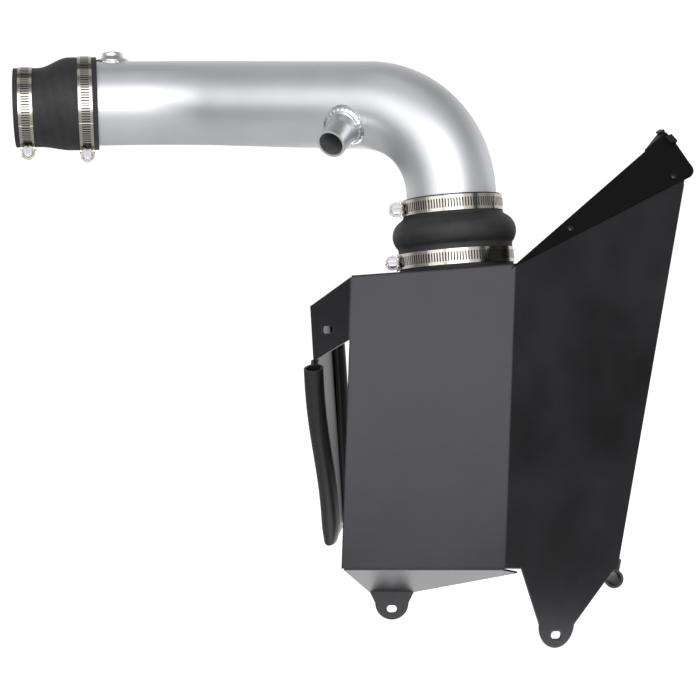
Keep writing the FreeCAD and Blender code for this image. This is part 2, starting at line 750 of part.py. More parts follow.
def plate_fasteners():
    screws = []
    nuts = []
    for place in plate_screw_places():
        screw = button_screw(plate_screw_diameter, plate_head_diameter, plate_head_height, 2 * sheet + nut_height)
        screws.append(placed(screw, place + plate_out * sheet, plate_out, plate_along))
        nut = hexagon(nut_flats, nut_height, ORIGIN, UP)
        nut = nut.cut(Part.makeCylinder(plate_screw_diameter / 2, nut_height))
        nuts.append(placed(nut, place - plate_out * (sheet + nut_height), plate_out, plate_along))
    return Part.makeCompound(screws), Part.makeCompound(nuts)


# Edge seals

def seal_section(length):
    """Bulb and grip, drawn upwards from the origin: the sheet's edge enters along +X."""
    radius = bulb_diameter / 2
    centre = Vector(-radius, 0, 0)
    bulb = Part.makeCylinder(radius, length, centre)
    hollow = Part.makeCylinder(radius - bulb_wall, length, centre)
    grip = Part.makeBox(grip_depth + bulb_wall, grip_width, length, Vector(-bulb_wall, -grip_width / 2, 0))
    mouth = Part.makeBox(grip_depth, sheet, length, Vector(0, -sheet / 2, 0))
    return joined([bulb, grip]).cut([hollow, mouth])


def seal_along(start, end, inward, side):
    """Straight seal on a sheet edge from start to end; inward points into the sheet."""
    section = seal_section((end - start).Length)
    return placed(section, start + side * (sheet / 2), end - start, inward)


def left_bulb_seal():
    edge = unit(wing_corner_low - wall_toe)
    inward = across(edge, wall_level)
    return seal_along(wall_toe + edge * seal_foot_relief, wing_corner_low - edge * seal_relief, inward, wall_out)


def rear_bulb_seal():
    edge = unit(wall_head - wall_heel)
    return seal_along(wall_heel + edge * seal_relief, wall_head - edge * seal_relief, wall_level * -1, wall_out)


def right_bulb_seal():
    edge = Vector(0, 1, 0)
    inward = across(edge, right_head - right_foot)
    return seal_along(right_foot + edge * (2 * sheet), right_foot + return_back, inward, return_out)


def trim_channel(start, edge, length, depth, inward, side):
    """Rubber channel on a sheet's edge; start lies on the sheet's inner face, side is its outward normal."""
    channel = Part.makeBox(depth, trim_width, length, Vector(-trim_wall, -trim_width / 2, 0))
    mouth = Part.makeBox(depth, sheet, length, Vector(0, -sheet / 2, 0))
    return placed(channel.cut(mouth), start + side * (sheet / 2), edge, across(edge, inward))


def plate_edge_trim():
    start, end, shoulder, ear_tip = plate_corners()
    length = (end - start).Length - trim_relief
    return trim_channel(start, unit(end - start), length, trim_depth, plate_along * -1, plate_out)


def ear_edge_trim():
    trim_foot, peak, shoulder, ear_tip = plate_corners()
    edge = unit(peak - ear_tip)
    return trim_channel(ear_tip, edge, ear_trim_length, ear_trim_depth, shoulder - peak, ear_direction())


def build():
    pipe, boss, spigot = pipe_solids()
    filter_neck, pleats, cap = air_filter()
    plate_screws, plate_nuts = plate_fasteners()
    nodes = {
        "intake_pipe": pipe,
        "sensor_boss": boss,
        "breather_spigot": spigot,
        "throttle_coupler": throttle_coupler(),
        "hump_coupler": hump_coupler(),
        "filter_adapter": filter_adapter(),
        "adapter_screws": adapter_screws(),
        "filter_neck": filter_neck,
        "filter_pleats": pleats,
        "filter_end_cap": cap,
        "heat_shield": heat_shield(),
        "upper_plate": upper_plate(),
        "plate_screws": plate_screws,
        "plate_nuts": plate_nuts,
        "left_bulb_seal": left_bulb_seal(),
        "rear_bulb_seal": rear_bulb_seal(),
        "right_bulb_seal": right_bulb_seal(),
        "plate_edge_trim": plate_edge_trim(),
        "ear_edge_trim": ear_edge_trim(),
    }
    for name, radius, centre, axis, direction in clamps():
        band, housing, screw = clamp(radius, centre, axis, direction)
        nodes[name + "_band"] = band
        nodes[name + "_housing"] = housing
        nodes[name + "_screw"] = screw
    return nodes


os.makedirs("parts", exist_ok=True)
for name, shape in build().items():
    shape.exportStep(os.path.join("parts", name + ".step"))
    print(name, len(shape.Solids), shape.isValid(), round(shape.Volume))
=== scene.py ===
# %% [markdown]
# # A cold air intake, from a imported frame to a studio picture
# The object is an aluminium intake pipe with two rubber couplers, five worm drive clamps and a folded
# steel heat shield round a cone air filter. The imported model gives every rigid piece its place. This
# script loads it as a fixed frame, keeps its size before anything is added, and then finishes each
# piece in turn.

# %% Load the frame
import json
import math

import bmesh
import bpy
from mathutils import Matrix, Vector


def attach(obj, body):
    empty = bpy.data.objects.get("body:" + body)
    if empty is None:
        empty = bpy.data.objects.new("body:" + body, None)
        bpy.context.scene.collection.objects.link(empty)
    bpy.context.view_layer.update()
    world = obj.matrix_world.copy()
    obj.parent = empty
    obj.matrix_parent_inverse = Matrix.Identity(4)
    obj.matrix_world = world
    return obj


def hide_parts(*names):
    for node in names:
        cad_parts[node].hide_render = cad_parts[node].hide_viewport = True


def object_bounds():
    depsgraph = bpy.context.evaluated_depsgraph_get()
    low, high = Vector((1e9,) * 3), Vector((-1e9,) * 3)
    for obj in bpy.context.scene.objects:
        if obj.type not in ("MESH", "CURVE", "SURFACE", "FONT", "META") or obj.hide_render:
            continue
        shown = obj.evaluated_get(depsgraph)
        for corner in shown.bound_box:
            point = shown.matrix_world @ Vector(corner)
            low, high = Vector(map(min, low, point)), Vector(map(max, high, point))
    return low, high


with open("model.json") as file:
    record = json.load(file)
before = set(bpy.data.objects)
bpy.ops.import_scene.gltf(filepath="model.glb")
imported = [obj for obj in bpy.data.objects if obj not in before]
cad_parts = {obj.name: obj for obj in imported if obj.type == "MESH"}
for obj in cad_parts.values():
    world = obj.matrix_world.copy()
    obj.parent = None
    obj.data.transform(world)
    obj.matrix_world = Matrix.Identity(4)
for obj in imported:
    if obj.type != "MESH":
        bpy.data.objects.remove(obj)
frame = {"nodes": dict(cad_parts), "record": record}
frame_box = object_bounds()
nodes = frame["nodes"]
subparts = frame["record"]["subparts"]
mounts = {mount["name"]: mount for mount in frame["record"]["mounts"]}
MM = 0.001
print("frame of", len(nodes), "nodes,", [round(side / MM) for side in frame_box[1] - frame_box[0]], "mm")

# %% [markdown]
# ## Camera
# The photograph was taken straight on, from a little below the pipe. A lens of about 80 mm at 1.4 m
# gives the same slight growth of the pipe from left to right, because its right end is nearer.

# %% Camera
camera_place = (0.3054, -1.4310, -0.2204)
lens_length = 80.8
camera = bpy.data.objects.new("camera", bpy.data.cameras.new("camera"))
bpy.context.scene.collection.objects.link(camera)
bpy.context.scene.camera = camera
camera.location = camera_place
camera.rotation_euler = (math.radians(90), 0, 0)
camera.data.sensor_width = 36
camera.data.lens = lens_length
camera.data.clip_start = 0.05
camera.data.clip_end = 60
print("camera", -camera_place[1], "m in front, with a lens of", lens_length, "mm")


# %% [markdown]
# ## Helpers for materials
# Colours are written as sRGB hex, the way a colour picker shows them, and one function turns them into
# the linear values that the shader wants. Another adds a node, sets its inputs and links it. Two short
# ones start a material with an empty tree, and give the finished tree its output.

# %% Colour and node helpers
def linear(hex_colour):
    """An sRGB hex colour as linear red, green, blue and alpha."""
    channels = [int(hex_colour[i:i + 2], 16) / 255 for i in (1, 3, 5)]
    return [c / 12.92 if c <= 0.04045 else ((c + 0.055) / 1.055) ** 2.4 for c in channels] + [1]


def add(tree, kind, inputs=None, **settings):
    """Adds a node. An input is a value, or another node's output to link."""
    made = tree.nodes.new("ShaderNode" + kind)
    for name, value in settings.items():
        setattr(made, name, value)
    for key, value in (inputs or {}).items():
        if isinstance(value, bpy.types.NodeSocket):
            tree.links.new(value, made.inputs[key])
        else:
            made.inputs[key].default_value = value
    return made


def new_tree(name):
    material = bpy.data.materials.new(name)
    material.use_nodes = True
    material.node_tree.nodes.clear()
    return material, material.node_tree


def finish_surface(tree, shader):
    tree.links.new(shader.outputs[0], add(tree, "OutputMaterial").inputs["Surface"])


# %% [markdown]
# ## Brushed aluminium tube
# The pipe is mandrel bent aluminium tube, blasted and belt rubbed to an even satin and then clear coated.
# That gives the eye a soft, wide highlight with a fine grain in it, and slightly cloudy patches where the
# belt pressed harder. The coat's haze scatters some light, so it isn't set fully metallic.
# The grain is a stretched noise about 0.5 mm fine, drawn coarser than the real 0.1 mm so that it shows.

# %% Brushed aluminium tube
brushed_tube, tree = new_tree("brushed_aluminium_tube")
place = add(tree, "TexCoord").outputs["Object"]
grain_space = add(tree, "Mapping", {"Vector": place, "Scale": (2000, 260, 260)})
grain = add(tree, "TexNoise", {
    "Vector": grain_space.outputs[0], "Scale": 1.0, "Detail": 3.0, "Roughness": 0.6})
clouds = add(tree, "TexNoise", {"Vector": place, "Scale": 28.0, "Detail": 3.0})
tone = add(tree, "ValToRGB", {"Fac": clouds.outputs[0]})
tone.color_ramp.elements[0].position = 0.3
tone.color_ramp.elements[0].color = linear("#d2d3d6")
tone.color_ramp.elements[1].position = 0.7
tone.color_ramp.elements[1].color = linear("#d9dadd")
gloss = add(tree, "MapRange", {"Value": grain.outputs[0], "To Min": 0.38, "To Max": 0.48})
relief = add(tree, "Bump", {"Height": grain.outputs[0], "Strength": 0.06, "Distance": 0.0002})
finish_surface(tree, add(tree, "BsdfPrincipled", {
    "Base Color": tone.outputs[0], "Metallic": 0.75, "Roughness": gloss.outputs[0],
    "Normal": relief.outputs[0]}))
print("made", brushed_tube.name)


# %% [markdown]
# ## Plain metals
# The small metal pieces are turned from bar, rolled from strip, or pressed and plated. Each has one even
# colour, and the eye tells them apart by how tightly they reflect. So one function makes them all: a
# noise varies the roughness a little, and may dent the surface too. Its grain is about 1 mm, ten times
# as coarse as the real one, because a finer grain wouldn't show.

# %% Plain metals
def grained_metal(name, colour, metallic, grain_scale, grain_detail, rough, dents=None):
    """A metal whose roughness goes from rough[0] to rough[1]. Dents are a strength and a depth in metres."""
    material, tree = new_tree(name)
    place = add(tree, "TexCoord").outputs["Object"]
    grain = add(tree, "TexNoise", {"Vector": place, "Scale": grain_scale, "Detail": grain_detail})
    gloss = add(tree, "MapRange", {"Value": grain.outputs[0], "To Min": rough[0], "To Max": rough[1]})
    looks = {"Base Color": linear(colour), "Metallic": metallic, "Roughness": gloss.outputs[0]}
    if dents:
        relief = add(tree, "Bump", {"Height": grain.outputs[0], "Strength": dents[0], "Distance": dents[1]})
        looks["Normal"] = relief.outputs[0]
    finish_surface(tree, add(tree, "BsdfPrincipled", looks))
    return material


# %% [markdown]
# ## Turned aluminium
# The sensor boss, the breather spigot and the filter adapter are turned on a lathe. They are a little
# glossier and more metallic than the blasted tube, so that the fittings stand out from it.

# %% Turned aluminium
turned_fitting = grained_metal(
    "turned_aluminium_fitting", "#d4d5d8", 0.9, 900.0, 2.0, rough=(0.3, 0.42), dents=(0.05, 0.0002))
print("made", turned_fitting.name)

# %% [markdown]
# ## Coupler rubber
# The couplers are hose of rubber and cloth plies, wrapped in tape while it cured. It is matte charcoal,
# with a fine sanded grain, and the tape leaves shallow lines that run slightly askew round it. Bands lie
# two pi over twenty times the wave's scale apart, so a scale of 35 gives the real tape's 9 mm. A
# coupler's axis is not the same as the next one's, so each has its own copy of the material.

# %% Coupler rubber
def wrapped_hose(name, axis, askew):
    """Rubber whose tape lines lie across the given axis, tilted by askew degrees."""
    material, tree = new_tree(name)
    place = add(tree, "TexCoord").outputs["Object"]
    turn = Vector(axis).rotation_difference(Vector((0, 0, 1))).to_euler()
    turn.rotate_axis("Y", math.radians(askew))
    along = add(tree, "Mapping", {"Vector": place, "Rotation": tuple(turn)})
    wave = add(tree, "TexWave", {
        "Vector": along.outputs[0], "Scale": 35.0, "Distortion": 0.6, "Detail": 2.0, "Detail Scale": 0.4},
        bands_direction="Z", wave_profile="SAW")
    tape = wave.outputs["Fac"]
    grain = add(tree, "TexNoise", {"Vector": place, "Scale": 1200.0, "Detail": 4.0})
    patches = add(tree, "TexNoise", {"Vector": place, "Scale": 60.0, "Detail": 4.0})
    shade = add(tree, "Math", {0: tape, 1: 0.2, 2: patches.outputs[0]}, operation="MULTIPLY_ADD")
    tone = add(tree, "ValToRGB", {"Fac": shade.outputs[0]})
    tone.color_ramp.elements[0].position = 0.35
    tone.color_ramp.elements[0].color = linear("#1f1f21")
    tone.color_ramp.elements[1].position = 0.85
    tone.color_ramp.elements[1].color = linear("#303032")
    height = add(tree, "Math", {0: tape, 1: 1.5, 2: grain.outputs[0]}, operation="MULTIPLY_ADD")
    relief = add(tree, "Bump", {"Height": height.outputs[0], "Strength": 0.3, "Distance": 0.0003})
    finish_surface(tree, add(tree, "BsdfPrincipled", {
        "Base Color": tone.outputs[0], "Roughness": 0.6, "Specular IOR Level": 0.4,
        "Normal": relief.outputs[0]}))
    return material


throttle_axis = tuple(-side for side in mounts["throttle_mouth"]["axis"])
seat_lean = math.radians(4.2)
seat_axis = (-math.sin(seat_lean), 0, math.cos(seat_lean))
throttle_rubber = wrapped_hose("wrapped_hose_rubber_throttle", throttle_axis, 9)
hump_rubber = wrapped_hose("wrapped_hose_rubber_hump", seat_axis, 4)
print("made", throttle_rubber.name, "and", hump_rubber.name)

# %% [markdown]
# ## Clamp steel
# A worm drive clamp's band and housing are rolled stainless strip, a warm grey and close to a mirror, so
# they show the studio as crisp light and dark zones. The screws are plated with bright zinc, which is
# darker and cooler. Both are plain metals with no dents.

# %% Clamp steel
clamp_steel = grained_metal("rolled_stainless_band", "#b4b0a8", 1.0, 700.0, 3.0, rough=(0.1, 0.22))
clamp_screw = grained_metal("zinc_plated_screw", "#808083", 1.0, 1500.0, 3.0, rough=(0.1, 0.2))
print("made", clamp_steel.name, "and", clamp_screw.name)

# %% [markdown]
# ## Powder coated steel
# The shield is 1.5 mm sheet steel with a satin black powder coat. Powder melts into a skin with a low
# ripple, called orange peel, a few millimetres from crest to crest, and a fine sparkle of grain on it.
# It draws back from edges while it melts, so every fold and cut edge ends in a soft round. The bevel node
# turns the normals there, over about 2 mm, and gives the folds the thin light line that the eye looks for.
# The upper plate has the shield's coat. Its second copy is made darker and duller as painted shade.

# %% Powder coat
fold_round = 0.0022


def powder_coat(name, dark, light, shine):
    """Satin paint whose colour lies between dark and light. Shine is its specular level."""
    material, tree = new_tree(name)
    place = add(tree, "TexCoord").outputs["Object"]
    peel = add(tree, "TexNoise", {"Vector": place, "Scale": 420.0, "Detail": 2.0})
    grain = add(tree, "TexNoise", {"Vector": place, "Scale": 1800.0, "Detail": 2.0})
    patches = add(tree, "TexNoise", {"Vector": place, "Scale": 14.0, "Detail": 5.0})
    tone = add(tree, "ValToRGB", {"Fac": patches.outputs[0]})
    tone.color_ramp.elements[0].position = 0.35
    tone.color_ramp.elements[0].color = linear(dark)
    tone.color_ramp.elements[1].position = 0.65
    tone.color_ramp.elements[1].color = linear(light)
    height = add(tree, "Math", {0: peel.outputs[0], 1: grain.outputs[0]}, operation="ADD")
    edges = add(tree, "Bevel", {"Radius": fold_round}, samples=6)
    relief = add(tree, "Bump", {
        "Height": height.outputs[0], "Strength": 0.1, "Distance": 0.0002, "Normal": edges.outputs[0]})
    gloss = add(tree, "MapRange", {"Value": patches.outputs[0], "To Min": 0.36, "To Max": 0.46})
    finish_surface(tree, add(tree, "BsdfPrincipled", {
        "Base Color": tone.outputs[0], "Roughness": gloss.outputs[0], "Normal": relief.outputs[0],
        "Specular IOR Level": shine, "Specular Tint": linear("#efeff7")}))
    return material


shield_paint = powder_coat("satin_powder_coat", "#0d0d0e", "#212123", 0.43)
# Painted shade: the plate's copy of the shield's coat is darker and duller.
plate_paint = powder_coat("satin_powder_coat_plate_painted_shade", "#0d0d0e", "#101011", 0.15)
print("made", shield_paint.name, "and", plate_paint.name)

# %% [markdown]
# ## Extruded seal rubber
# The bulb seals and the edge trims are EPDM, a black rubber for outdoor use, pushed through a die as one
# long strip. The die leaves faint lines along it, and the eye sees them as a soft streaky sheen. Most
# of the strips run up the shield's edges, so the noise is stretched along Z. Its lines are 0.7 mm
# apart, coarser than the real ones.

# %% Extruded seal rubber
seal_rubber, tree = new_tree("extruded_seal_rubber")
place = add(tree, "TexCoord").outputs["Object"]
lines = add(tree, "Mapping", {"Vector": place, "Scale": (1500, 1500, 60)})
grain = add(tree, "TexNoise", {"Vector": lines.outputs[0], "Scale": 1.0, "Detail": 2.0})
relief = add(tree, "Bump", {"Height": grain.outputs[0], "Strength": 0.12, "Distance": 0.0002})
gloss = add(tree, "MapRange", {"Value": grain.outputs[0], "To Min": 0.38, "To Max": 0.5})
finish_surface(tree, add(tree, "BsdfPrincipled", {
    "Base Color": linear("#111112"), "Roughness": gloss.outputs[0], "Normal": relief.outputs[0]}))
print("made", seal_rubber.name)

# %% [markdown]
# ## Filter materials
# The filter hangs inside the shield. Its neck and its cap are moulded rubber, matte and faintly pitted
# from the mould. Its pleats are cotton gauze, which has almost no gloss, with threads drawn as a wave
# about 3 mm from crest to crest, where real gauze has 1 mm. The screws and nuts of the adapter and the
# upper plate are steel with black zinc, dark and half dull.

# %% Filter materials
filter_rubber, tree = new_tree("moulded_filter_rubber")
place = add(tree, "TexCoord").outputs["Object"]
grain = add(tree, "TexNoise", {"Vector": place, "Scale": 900.0, "Detail": 3.0})
relief = add(tree, "Bump", {"Height": grain.outputs[0], "Strength": 0.2, "Distance": 0.0003})
finish_surface(tree, add(tree, "BsdfPrincipled", {
    "Base Color": linear("#1b1b1d"), "Roughness": 0.55, "Normal": relief.outputs[0]}))

filter_gauze, tree = new_tree("pleated_gauze")
place = add(tree, "TexCoord").outputs["Object"]
threads = add(tree, "TexWave", {"Vector": place, "Scale": 110.0, "Distortion": 0.4}, bands_direction="Z")
tone = add(tree, "ValToRGB", {"Fac": threads.outputs["Fac"]})
tone.color_ramp.elements[0].color = linear("#7d8085")
tone.color_ramp.elements[1].color = linear("#a9acb1")
relief = add(tree, "Bump", {"Height": threads.outputs["Fac"], "Strength": 0.4, "Distance": 0.0004})
finish_surface(tree, add(tree, "BsdfPrincipled", {
    "Base Color": tone.outputs[0], "Roughness": 0.9, "Normal": relief.outputs[0]}))

black_zinc = grained_metal("black_zinc_screw", "#38383b", 0.8, 1500.0, 2.0, rough=(0.3, 0.42))
print("made", filter_rubber.name + ",", filter_gauze.name, "and", black_zinc.name)

# %% [markdown]
# ## Each frame node gets its finish
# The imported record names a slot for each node, so one table from slot to material dresses them all.

# %% Dress the frame
finishes = {
    "pipe": brushed_tube, "pipe_fittings": turned_fitting, "coupler_rubber": hump_rubber,
    "adapter": turned_fitting, "fasteners": black_zinc, "filter_rubber": filter_rubber,
    "filter_media": filter_gauze, "shield_paint": shield_paint, "plate_paint": plate_paint,
    "seal_rubber": seal_rubber, "clamp_steel": clamp_steel, "clamp_screw": clamp_screw}
slot_of = {subpart["node"]: subpart["material_slot"] for subpart in subparts}
for node, slot in slot_of.items():
    mesh = nodes[node].data
    mesh.materials.clear()
    mesh.materials.append(finishes[slot])
nodes["throttle_coupler"].data.materials[0] = throttle_rubber
print("dressed", len(slot_of), "nodes")


# %% [markdown]
# ## Helpers for new pieces
# A frame node is never changed. Where a piece needs more form, a copy of its mesh, or a new one drawn
# from simple operators, takes its place in the picture. A copy is merged first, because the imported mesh
# has a seam at each face. Nodes stand at the origin, so new pieces do too, and need no place of their own.

# %% Piece helpers
def piece(name, shape, material, replaced=None, sharp=30):
    """Turns a bmesh into an object that rides the frame."""
    bmesh.ops.recalc_face_normals(shape, faces=shape.faces)
    mesh = bpy.data.meshes.new(name)
    shape.to_mesh(mesh)
    shape.free()
    mesh.shade_smooth()
    mesh.set_sharp_from_angle(angle=math.radians(sharp))
    mesh.materials.append(material)
    made = bpy.data.objects.new(name, mesh)
    bpy.context.scene.collection.objects.link(made)
    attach(made, "root")
    if replaced:
        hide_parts(replaced)
    return made


seam_gap = 0.02 * MM
flat_angle = math.radians(1.5)


def node_copy(name):
    """A frame node's mesh in the shared frame, with its seams merged and its flat faces whole."""
    shape = bmesh.new()
    shape.from_mesh(nodes[name].data)
    shape.transform(nodes[name].matrix_world)
    bmesh.ops.remove_doubles(shape, verts=shape.verts, dist=seam_gap)
    bmesh.ops.dissolve_limit(shape, angle_limit=flat_angle, verts=shape.verts, edges=shape.edges)
    return shape


def basis(up, along, origin):
    """A matrix whose Z is up and whose X lies near along."""
    z = Vector(up).normalized()
    y = z.cross(Vector(along)).normalized()
    turned = Matrix((y.cross(z), y, z)).transposed().to_4x4()
    return Matrix.Translation(origin) @ turned


# %% [markdown]
# ## Turning an outline into a ring
# Washers and hoses are round, so each is one outline spun about Z, as on a lathe, and then placed. A full
# spin meets itself at the start, where its doubled points are merged. Several rings may share a bmesh:
# points that are in place already are tagged, so that only the fresh ones move.

# %% Lathe
spin_gap = 0.001 * MM


def lathe(shape, outline, steps, matrix):
    """Spins an outline of (radius, height) points, in millimetres, about Z, then places it."""
    ring = [shape.verts.new((radius * MM, 0, height * MM)) for radius, height in outline]
    edges = [shape.edges.new(pair) for pair in zip(ring, ring[1:])]
    bmesh.ops.spin(shape, geom=ring + edges, axis=(0, 0, 1), cent=(0, 0, 0), angle=math.tau,
                   steps=steps, use_merge=True)
    bmesh.ops.remove_doubles(shape, verts=shape.verts, dist=spin_gap)
    fresh = [vert for vert in shape.verts if not vert.tag]
    bmesh.ops.transform(shape, matrix=matrix, verts=fresh)
    for vert in shape.verts:
        vert.tag = True


# %% [markdown]
# ## Weld beads
# The boss and the spigot are joined to the pipe by hand, with a bead laid as a row of overlapping
# puddles. The foot of each fitting is a saddle curve, the meeting of two cylinders. The bead is a small
# circle spun into a ring, rippled round its length, and then dropped onto that saddle, point by point.
# A puddle swells the bead by up to a tenth, and the welder's hand wanders by half of that. Weld metal is
# smoother than the blasted tube, with small dents from cooling, so it glints.

# %% Weld metal
weld_metal = grained_metal(
    "weld_bead_aluminium", "#d6d7da", 0.85, 1300.0, 3.0, rough=(0.24, 0.38), dents=(0.15, 0.0003))
pipe_radius = 38.1
bead_sides = 12
steps_per_puddle = 6
mean_swell = 0.94
puddle_swell = 0.09
hand_wander = 0.04
puddle_slant = 0.25


# %% Weld beads
def weld_bead(name, mount, depth, along, ring, bead, puddles, flare):
    """A bead round a fitting. Depth is how far its mouth stands from the pipe's axis, in metres, and ring
    and bead are the radii of the ring and of the bead, in millimetres."""
    shape = bmesh.new()
    circle = Matrix.Translation((ring * MM, 0, 0)) @ Matrix.Rotation(math.radians(90), 4, "X")
    bmesh.ops.create_circle(shape, segments=bead_sides, radius=bead * MM, matrix=circle)
    bmesh.ops.spin(shape, geom=shape.verts[:] + shape.edges[:], axis=(0, 0, 1), cent=(0, 0, 0),
                   angle=math.tau, steps=puddles * steps_per_puddle, use_merge=True)
    bmesh.ops.remove_doubles(shape, verts=shape.verts, dist=spin_gap)
    for vert in shape.verts:
        turn = math.atan2(vert.co.y, vert.co.x)
        out = math.hypot(vert.co.x, vert.co.y) / MM - ring
        puddle = (turn / math.tau * puddles + puddle_slant * vert.co.z / MM / bead) % 1
        swell = mean_swell + puddle_swell * math.sin(math.pi * puddle) + hand_wander * math.sin(turn * 5)
        reach = ring + out * swell * flare
        sag = math.sqrt(pipe_radius ** 2 - (reach * math.sin(turn)) ** 2)
        vert.co = Vector((reach * math.cos(turn), reach * math.sin(turn),
                          sag + vert.co.z / MM * swell)) * MM
    foot = Vector(mount["pos_m"]) - Vector(mount["axis"]) * depth
    shape.transform(basis(mount["axis"], along, foot))
    return piece(name, shape, weld_metal, sharp=80)


leg_turn = math.radians(26.1)
leg_fall = math.radians(4.7)
cross_leg = Vector((math.cos(leg_turn), -math.sin(leg_turn), -math.sin(leg_fall)))
spigot_bead = weld_bead("spigot_weld_bead", mounts["breather_spigot"], depth=0.0565, along=cross_leg,
                        ring=15.3, bead=3.6, puddles=26, flare=1.05)
boss_bead = weld_bead("boss_weld_bead", mounts["sensor_port"], depth=0.0421, along=throttle_axis,
                      ring=12.2, bead=2.8, puddles=24, flare=1.0)
print("weld beads of", len(spigot_bead.data.polygons), "and", len(boss_bead.data.polygons), "faces")

# %% [markdown]
# ## Softer edges on the hardware and the rubber
# Pressed steel, moulded rubber and turned parts have no knife edges. A small bevel on a merged copy of
# each node gives the thin bright and dark lines that make small parts readable. Only edges that turn
# sharply are broken, so round walls stay as they are.

# %% Bevelled copies
knife_angle = math.radians(35)


def break_edges(shape, width, segments):
    sharp = [edge for edge in shape.edges
             if len(edge.link_faces) == 2 and edge.calc_face_angle(0) > knife_angle]
    bmesh.ops.bevel(shape, geom=sharp, offset=width * MM, offset_type="OFFSET", segments=segments,
                    profile=0.5, affect="EDGES", clamp_overlap=True, material=-1)


throttle_clamps = ("throttle", "pipe")
seat_clamps = ("upper_hump", "lower_hump", "filter")
# Each node's bevel width in millimetres, the bevel's segments, and its finish.
softened = {
    "throttle_coupler": (0.9, 3, throttle_rubber), "filter_neck": (1.2, 3, filter_rubber),
    "filter_end_cap": (1.6, 4, filter_rubber), "filter_adapter": (0.4, 2, turned_fitting),
    "sensor_boss": (0.5, 3, turned_fitting), "adapter_screws": (0.25, 2, black_zinc),
    "plate_screws": (0.15, 2, black_zinc), "plate_nuts": (0.2, 2, black_zinc)}
for clamp in throttle_clamps + seat_clamps:
    softened[clamp + "_clamp_housing"] = (0.45, 3, clamp_steel)
    softened[clamp + "_clamp_screw"] = (0.45, 3, clamp_screw)
for node, (width, segments, material) in softened.items():
    shape = node_copy(node)
    break_edges(shape, width, segments)
    piece(node + "_soft", shape, material, node, sharp=50)
print("softened", len(softened), "nodes")

# %% [markdown]
# ## Washers under the clamp screws
# The hexagon head of a worm clamp is pressed in one piece with a round washer, which has a rolled rim and
# a hollow inside it. Each is one outline spun about its screw. The screw's own frame comes from the node's
# vertices: it runs across the clamp's axis, and its head is the end that faces the front. The head stands
# 5.7 mm proud of the washer's foot. The washers have the bands' steel, which sets them off from the screws.

# %% Clamp washers
head_height = 5.7
washer_outline = [(4.0, 0.1), (5.9, 0.0), (6.3, 0.35), (6.3, 0.8), (5.9, 1.15), (5.4, 1.1), (5.0, 0.75),
                  (4.6, 0.8), (4.2, 1.5), (3.6, 1.8)]
shape = bmesh.new()
for clamp in throttle_clamps + seat_clamps:
    at_throttle = clamp in throttle_clamps
    axis = Vector(throttle_axis if at_throttle else seat_axis)
    outward = Vector((0, 0, -1) if at_throttle else (-1, 0, 0))
    along = axis.cross((outward - axis * outward.dot(axis)).normalized())
    along *= -math.copysign(1, along.y)
    side = along.cross(axis)
    corners = [vert.co for vert in nodes[clamp + "_clamp_screw"].data.vertices]
    ends = [(min(corner.dot(way) for corner in corners), max(corner.dot(way) for corner in corners))
            for way in (along, axis, side)]
    foot = along * (ends[0][1] - head_height * MM) + axis * (sum(ends[1]) / 2) + side * (sum(ends[2]) / 2)
    lathe(shape, washer_outline, 48, basis(along, axis, foot))
washers = piece("clamp_washers", shape, clamp_steel, sharp=60)
print("washers of", len(washers.data.polygons), "faces")

# %% [markdown]
# ## The hump hose
# Moulded silicone flows from cuff to bulge without a corner. The frame has the bulge as an arc that
# meets the cuffs at an angle, so the hose is drawn again as one smooth outline and spun about the seat's
# axis. It keeps the frame's rim heights, cuff radii and crown. The bulge is an arc of its own circle,
# and short runs of points round off into the cuffs.

# %% Hump hose
seat = Vector((396.512, -93.184, -154.424)) * MM
bulge_radius, bulge_out, bulge_up = 15.26, 37.34, 33
bulge = [(bulge_out + bulge_radius * math.cos(math.radians(turn)),
          bulge_up + bulge_radius * math.sin(math.radians(turn))) for turn in range(-36, 61, 4)]
lower_cuff = [(48.45, 2.0), (48.45, 9.0), (48.45, 19.0), (48.46, 21.0), (48.55, 21.9), (48.75, 22.6),
              (49.1, 23.3)]
upper_cuff = [(44.2, 46.7), (43.3, 47.5), (42.6, 48.6), (42.2, 50.0), (42.1, 51.6), (42.1, 57.0),
              (42.1, 62.9), (41.8, 63.7), (41.2, 64.0)]
bore = [(39.0, 64.0), (38.4, 63.8), (38.12, 63.2), (38.12, 52.0), (38.3, 48.6), (39.2, 46.0),
        (41.2, 43.6), (44.2, 41.4), (46.8, 38.6), (48.3, 35.0), (48.5, 31.0), (47.6, 27.0),
        (45.8, 24.4), (44.7, 22.0), (44.46, 19.0), (44.46, 2.0), (44.7, 1.3), (45.3, 1.0),
        (47.5, 1.0), (48.2, 1.3), (48.45, 2.0)]
shape = bmesh.new()
lathe(shape, lower_cuff + bulge + upper_cuff + bore, 144, basis(seat_axis, (1, 0, 0), seat))
hose = piece("hump_hose", shape, hump_rubber, "hump_coupler", sharp=60)
print("hump hose of", len(hose.data.polygons), "faces")

# %% [markdown]
# ## Edge seals that give a little
# A hollow bulb seal never lies quite straight on its sheet. Copies of the left and the rear seal are cut
# into slices and bowed by about a millimetre, and the left one is pinched flat at its foot, where it has
# been cut off with shears. The rear bulb has been squeezed, so it is wider than it is deep.

# %% Bowed seals
seal_slices = 24
end_band = 12 * MM
pinch_share = 0.14
pinch_narrowing = 0.45
pinch_shift = 1.5


